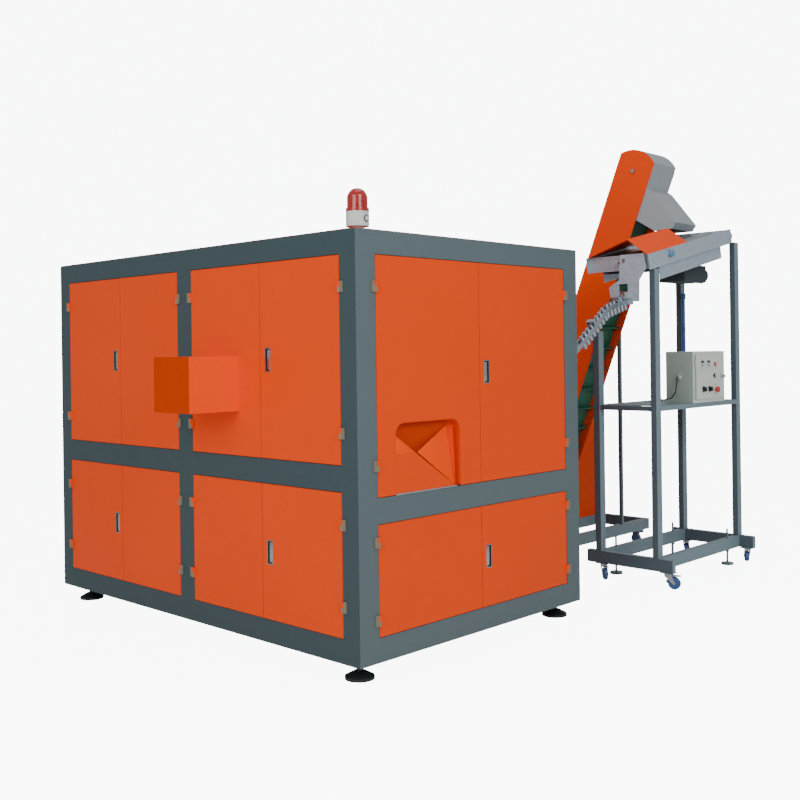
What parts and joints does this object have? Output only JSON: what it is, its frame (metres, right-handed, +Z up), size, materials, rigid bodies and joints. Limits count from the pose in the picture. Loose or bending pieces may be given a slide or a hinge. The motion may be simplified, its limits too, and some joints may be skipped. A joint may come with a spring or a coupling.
{
  "type": "bottle blow molding machine",
  "caption": "Framed orange and grey cabinet with double doors, a roller sorter for preforms on a wheeled stand, and a belt elevator with a floor hopper.",
  "frame": {"origin": "on the floor under the centre of the levelling pad at the near right corner of the cabinet", "axes": "+X along the front to the viewer's right, +Y from the front to the rear, +Z up"},
  "size_m": [2.8253, 4.294, 2.9443],
  "materials": {
    "cabinet_frame": "grey powder coat",
    "cabinet_panels": "orange powder coat",
    "machine_bed": "light grey machine paint",
    "levelling_feet": "black",
    "hinge_frame_leaves": "cast, beige lacquer",
    "console_box": "orange powder coat",
    "outlet_chute": "orange powder coat",
    "beacon_base": "off-white moulding",
    "beacon_lens": "red translucent dome",
    "beacon_reflector": "polished",
    "door_orange": "orange powder coat",
    "oven_housing": "bright reflector sheet",
    "preform_carousel": "ground steel",
    "mould_half_1": "machined",
    "mould_half_2": "machined",
    "stretch_rods": "ground",
    "electrical_cabinet": "pale grey paint",
    "stand_frame": "grey powder coat",
    "caster_zinc": "zinc plated",
    "caster_blue": "blue tread",
    "sorter_trough": "galvanised and grey",
    "sorter_roller_1": "ground",
    "sorter_roller_2": "ground",
    "sorter_cover": "orange powder coat",
    "sorter_gearmotor": "dark grey paint",
    "infeed_rails": "bright rails",
    "service_lines": "blue hose and black lead",
    "control_box": "pale grey-beige paint",
    "control_box_door": "pale grey-beige paint",
    "estop_button": "red",
    "selector_knob_1": "black",
    "selector_knob_2": "black",
    "elevator_side_plates": "orange powder coat",
    "elevator_belt": "green belt",
    "elevator_drive_drum": "turned",
    "elevator_tail_drum": "turned",
    "elevator_chute": "grey sheet",
    "elevator_gearmotor": "dark grey paint",
    "elevator_frame": "grey powder coat",
    "elevator_hopper": "orange powder coat",
    "elevator_wheels_1": "blue tread",
    "elevator_wheels_2": "blue tread",
    "hopper_vibrator": "black"
  },
  "bodies": {
    "machine": {"cabinet_frame": "cabinet_frame", "cabinet_panels": "cabinet_panels", "machine_bed": "machine_bed", "levelling_feet": "levelling_feet", "hinge_frame_leaves": "hinge_frame_leaves", "beacon_base": "beacon_base", "beacon_lens": "beacon_lens", "oven_housing": "oven_housing", "electrical_cabinet": "electrical_cabinet", "stand_frame": "stand_frame", "sorter_trough": "sorter_trough", "sorter_cover": "sorter_cover", "sorter_gearmotor": "sorter_gearmotor", "infeed_rails": "infeed_rails", "service_lines": "service_lines", "control_box": "control_box", "elevator_side_plates": "elevator_side_plates", "elevator_belt": "elevator_belt", "elevator_chute": "elevator_chute", "elevator_gearmotor": "elevator_gearmotor", "elevator_frame": "elevator_frame", "elevator_hopper": "elevator_hopper", "hopper_vibrator": "hopper_vibrator"},
    "front_door_upper_1": {"front_door_upper_1": "door_orange"},
    "front_door_upper_2": {"front_door_upper_2": "door_orange"},
    "front_door_upper_3": {"front_door_upper_3": "door_orange", "console_box": "console_box"},
    "front_door_upper_4": {"front_door_upper_4": "door_orange"},
    "front_door_lower_1": {"front_door_lower_1": "door_orange"},
    "front_door_lower_2": {"front_door_lower_2": "door_orange"},
    "front_door_lower_3": {"front_door_lower_3": "door_orange"},
    "front_door_lower_4": {"front_door_lower_4": "door_orange"},
    "end_door_upper_1": {"end_door_upper_1": "door_orange", "outlet_chute": "outlet_chute"},
    "end_door_upper_2": {"end_door_upper_2": "door_orange"},
    "end_door_lower_1": {"end_door_lower_1": "door_orange"},
    "end_door_lower_2": {"end_door_lower_2": "door_orange"},
    "beacon_reflector": {"beacon_reflector": "beacon_reflector"},
    "preform_carousel": {"preform_carousel": "preform_carousel"},
    "mould_half_1": {"mould_half_1": "mould_half_1"},
    "mould_half_2": {"mould_half_2": "mould_half_2"},
    "stretch_rods": {"stretch_rods": "stretch_rods"},
    "stand_caster_fork_1": {"stand_caster_fork_1": "caster_zinc"},
    "stand_caster_wheel_1": {"stand_caster_wheel_1": "caster_blue"},
    "stand_caster_fork_2": {"stand_caster_fork_2": "caster_zinc"},
    "stand_caster_wheel_2": {"stand_caster_wheel_2": "caster_blue"},
    "stand_caster_fork_3": {"stand_caster_fork_3": "caster_zinc"},
    "stand_caster_wheel_3": {"stand_caster_wheel_3": "caster_blue"},
    "stand_caster_fork_4": {"stand_caster_fork_4": "caster_zinc"},
    "stand_caster_wheel_4": {"stand_caster_wheel_4": "caster_blue"},
    "sorter_roller_1": {"sorter_roller_1": "sorter_roller_1"},
    "sorter_roller_2": {"sorter_roller_2": "sorter_roller_2"},
    "control_box_door": {"control_box_door": "control_box_door"},
    "estop_button": {"estop_button": "estop_button"},
    "selector_knob_1": {"selector_knob_1": "selector_knob_1"},
    "selector_knob_2": {"selector_knob_2": "selector_knob_2"},
    "elevator_drive_drum": {"elevator_drive_drum": "elevator_drive_drum"},
    "elevator_tail_drum": {"elevator_tail_drum": "elevator_tail_drum"},
    "elevator_wheels_1": {"elevator_wheels_1": "elevator_wheels_1"},
    "elevator_wheels_2": {"elevator_wheels_2": "elevator_wheels_2"}
  },
  "joints": [
    {"name": "front_door_upper_1_hinge", "type": "hinge", "parent": "machine", "child": "front_door_upper_1", "pos_m": [-2.472, -0.107, 1.485], "axis": [0, 0, 1], "range_deg": [-110, 0]},
    {"name": "front_door_upper_2_hinge", "type": "hinge", "parent": "machine", "child": "front_door_upper_2", "pos_m": [-1.298, -0.107, 1.485], "axis": [0, 0, 1], "range_deg": [0, 110]},
    {"name": "front_door_upper_3_hinge", "type": "hinge", "parent": "machine", "child": "front_door_upper_3", "pos_m": [-1.172, -0.107, 1.485], "axis": [0, 0, 1], "range_deg": [-100, 0]},
    {"name": "front_door_upper_4_hinge", "type": "hinge", "parent": "machine", "child": "front_door_upper_4", "pos_m": [0.002, -0.107, 1.485], "axis": [0, 0, 1], "range_deg": [0, 110]},
    {"name": "front_door_lower_1_hinge", "type": "hinge", "parent": "machine", "child": "front_door_lower_1", "pos_m": [-2.472, -0.107, 0.535], "axis": [0, 0, 1], "range_deg": [-110, 0]},
    {"name": "front_door_lower_2_hinge", "type": "hinge", "parent": "machine", "child": "front_door_lower_2", "pos_m": [-1.298, -0.107, 0.535], "axis": [0, 0, 1], "range_deg": [0, 110]},
    {"name": "front_door_lower_3_hinge", "type": "hinge", "parent": "machine", "child": "front_door_lower_3", "pos_m": [-1.172, -0.107, 0.535], "axis": [0, 0, 1], "range_deg": [-110, 0]},
    {"name": "front_door_lower_4_hinge", "type": "hinge", "parent": "machine", "child": "front_door_lower_4", "pos_m": [0.002, -0.107, 0.535], "axis": [0, 0, 1], "range_deg": [0, 110]},
    {"name": "end_door_upper_1_hinge", "type": "hinge", "parent": "machine", "child": "end_door_upper_1", "pos_m": [0.117, 0.024, 1.41], "axis": [0, 0, 1], "range_deg": [-110, 0]},
    {"name": "end_door_upper_2_hinge", "type": "hinge", "parent": "machine", "child": "end_door_upper_2", "pos_m": [0.117, 1.519, 1.41], "axis": [0, 0, 1], "range_deg": [0, 110]},
    {"name": "end_door_lower_1_hinge", "type": "hinge", "parent": "machine", "child": "end_door_lower_1", "pos_m": [0.117, 0.024, 0.459], "axis": [0, 0, 1], "range_deg": [-110, 0]},
    {"name": "end_door_lower_2_hinge", "type": "hinge", "parent": "machine", "child": "end_door_lower_2", "pos_m": [0.117, 1.519, 0.459], "axis": [0, 0, 1], "range_deg": [0, 110]},
    {"name": "beacon_reflector_spin", "type": "hinge", "parent": "machine", "child": "beacon_reflector", "pos_m": [0.054, -0.028, 2.165], "axis": [0, 0, 1], "continuous": true},
    {"name": "carousel_spin", "type": "hinge", "parent": "machine", "child": "preform_carousel", "pos_m": [-1.84, 0.77, 1.025], "axis": [0, 0, 1], "continuous": true},
    {"name": "mould_half_1_slide", "type": "slide", "parent": "machine", "child": "mould_half_1", "axis": [1, 0, 0], "range_m": [-0.12, 0]},
    {"name": "mould_half_2_slide", "type": "slide", "parent": "machine", "child": "mould_half_2", "axis": [1, 0, 0], "range_m": [0, 0.12]},
    {"name": "stretch_rods_slide", "type": "slide", "parent": "machine", "child": "stretch_rods", "axis": [0, 0, 1], "range_m": [-0.18, 0]},
    {"name": "stand_caster_1_swivel", "type": "hinge", "parent": "machine", "child": "stand_caster_fork_1", "pos_m": [-0.315, 2.543, 0.085], "axis": [0, 0, 1], "continuous": true},
    {"name": "stand_caster_1_roll", "type": "hinge", "parent": "stand_caster_fork_1", "child": "stand_caster_wheel_1", "pos_m": [-0.28954, 2.51754, 0.04], "axis": [0.7071, 0.7071, 0], "continuous": true},
    {"name": "stand_caster_2_swivel", "type": "hinge", "parent": "machine", "child": "stand_caster_fork_2", "pos_m": [0.162, 2.543, 0.085], "axis": [0, 0, 1], "continuous": true},
    {"name": "stand_caster_2_roll", "type": "hinge", "parent": "stand_caster_fork_2", "child": "stand_caster_wheel_2", "pos_m": [0.19677, 2.55232, 0.04], "axis": [-0.2588, 0.9659, 0], "continuous": true},
    {"name": "stand_caster_3_swivel", "type": "hinge", "parent": "machine", "child": "stand_caster_fork_3", "pos_m": [0.162, 3.637, 0.085], "axis": [0, 0, 1], "continuous": true},
    {"name": "stand_caster_3_roll", "type": "hinge", "parent": "stand_caster_fork_3", "child": "stand_caster_wheel_3", "pos_m": [0.14135, 3.66649, 0.04], "axis": [-0.8192, -0.5736, 0], "continuous": true},
    {"name": "stand_caster_4_swivel", "type": "hinge", "parent": "machine", "child": "stand_caster_fork_4", "pos_m": [-0.315, 3.637, 0.085], "axis": [0, 0, 1], "continuous": true},
    {"name": "stand_caster_4_roll", "type": "hinge", "parent": "stand_caster_fork_4", "child": "stand_caster_wheel_4", "pos_m": [-0.32731, 3.67083, 0.04], "axis": [-0.9397, -0.342, 0], "continuous": true},
    {"name": "sorter_roller_1_spin", "type": "hinge", "parent": "machine", "child": "sorter_roller_1", "pos_m": [-0.026, 2.9386, 2.16885], "axis": [0, 0.9773, 0.2121], "continuous": true},
    {"name": "sorter_roller_2_spin", "type": "hinge", "parent": "machine", "child": "sorter_roller_2", "pos_m": [-0.134, 2.9386, 2.16885], "axis": [0, 0.9773, 0.2121], "continuous": true},
    {"name": "control_box_door_hinge", "type": "hinge", "parent": "machine", "child": "control_box_door", "pos_m": [0.114, 3.0075, 1.173], "axis": [0, 0, 1], "range_deg": [-110, 0]},
    {"name": "estop_press", "type": "slide", "parent": "control_box_door", "child": "estop_button", "axis": [-1, 0, 0], "range_m": [0, 0.006], "stiffness_N_per_m": 600},
    {"name": "selector_knob_1_turn", "type": "hinge", "parent": "control_box_door", "child": "selector_knob_1", "pos_m": [0.1205, 3.11025, 1.23834], "axis": [1, 0, 0], "range_deg": [-45, 45]},
    {"name": "selector_knob_2_turn", "type": "hinge", "parent": "control_box_door", "child": "selector_knob_2", "pos_m": [0.1205, 3.19278, 1.23834], "axis": [1, 0, 0], "range_deg": [-45, 45]},
    {"name": "drive_drum_spin", "type": "hinge", "parent": "machine", "child": "elevator_drive_drum", "pos_m": [-0.4533, 3.2, 2.78892], "axis": [0, 1, 0], "continuous": true},
    {"name": "tail_drum_spin", "type": "hinge", "parent": "machine", "child": "elevator_tail_drum", "pos_m": [-1.43, 3.2, 0.347], "axis": [0, 1, 0], "continuous": true},
    {"name": "elevator_wheels_1_roll", "type": "hinge", "parent": "machine", "child": "elevator_wheels_1", "pos_m": [-2.135, 2.834, 0.04], "axis": [0, 1, 0], "continuous": true},
    {"name": "elevator_wheels_2_roll", "type": "hinge", "parent": "machine", "child": "elevator_wheels_2", "pos_m": [-0.815, 2.834, 0.04], "axis": [0, 1, 0], "continuous": true}
  ],
  "couplings": [
    {"joint": "mould_half_2_slide", "follows": "mould_half_1_slide", "ratio": -1},
    {"joint": "sorter_roller_2_spin", "follows": "sorter_roller_1_spin", "ratio": -1},
    {"joint": "tail_drum_spin", "follows": "drive_drum_spin", "ratio": 1}
  ]
}
